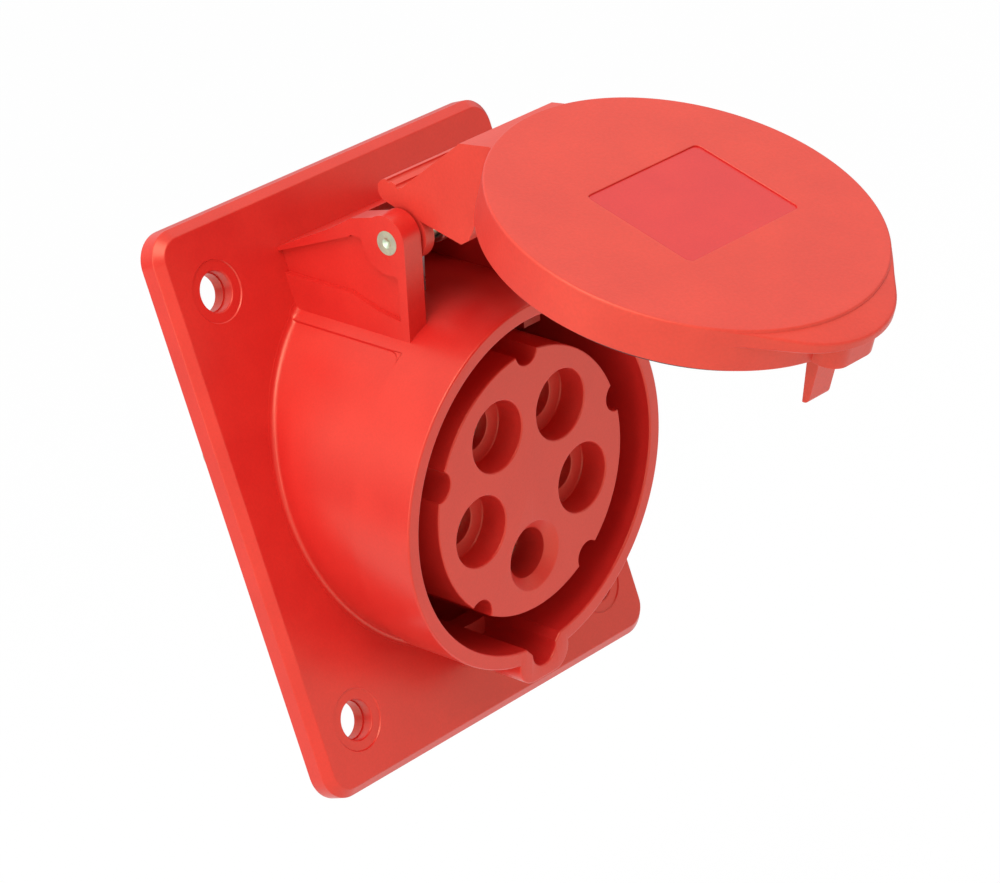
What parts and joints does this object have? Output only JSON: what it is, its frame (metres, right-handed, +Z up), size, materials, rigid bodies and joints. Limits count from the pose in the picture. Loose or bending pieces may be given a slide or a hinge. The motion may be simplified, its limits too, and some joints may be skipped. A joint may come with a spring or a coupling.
{
  "type": "industrial panel socket",
  "caption": "Angled panel-mount socket for an industrial power plug, with a keyed round collar, contact insert and a hinged lid standing open.",
  "frame": {"origin": "centre of the four mounting holes, on the flange's flat rear face", "axes": "+X along the hinge pin, to the right as the socket is seen from the front; +Y into the panel; +Z up; the socket faces -Y and leans 20 degrees down"},
  "size_m": [0.08, 0.1376, 0.0967],
  "materials": {
    "housing_plastic": "satin moulded polyamide, signal red",
    "insert_plastic": "satin moulded polyamide, signal red",
    "lid_plastic": "fine-grained moulded polyamide, signal red",
    "seal_rubber": "matte moulded rubber",
    "block_plastic": "matte moulded polyamide, grey",
    "contact_metal": "nickel-plated brass",
    "spring_steel": "drawn spring wire and strip",
    "screw_zinc": "bright zinc plate",
    "pin_zinc": "zinc plate with a green cast"
  },
  "bodies": {
    "socket": {"housing": "housing_plastic", "flange_gasket": "seal_rubber", "contact_insert": "insert_plastic", "insert_barrel": "insert_plastic", "insert_seat": "insert_plastic", "insert_screws": "screw_zinc", "terminal_block": "block_plastic", "block_screw": "screw_zinc", "contact_l1": "contact_metal", "contact_l2": "contact_metal", "contact_l3": "contact_metal", "contact_n": "contact_metal", "contact_pe": "contact_metal", "spring_ring_l1": "spring_steel", "spring_ring_l2": "spring_steel", "spring_ring_l3": "spring_steel", "spring_ring_n": "spring_steel", "spring_ring_pe": "spring_steel", "terminal_screw_l1": "screw_zinc", "terminal_screw_l2": "screw_zinc", "terminal_screw_l3": "screw_zinc", "terminal_screw_n": "screw_zinc", "terminal_screw_pe": "screw_zinc", "hinge_pin": "pin_zinc", "hinge_spring": "spring_steel"},
    "lid": {"lid": "lid_plastic", "lid_gasket": "seal_rubber"}
  },
  "joints": [
    {"name": "lid_hinge", "type": "hinge", "parent": "socket", "child": "lid", "pos_m": [0, -0.02893, 0.03643], "axis": [-1, 0, 0], "range_deg": [-73.2, 21.8], "deforming": ["hinge_spring"]}
  ]
}
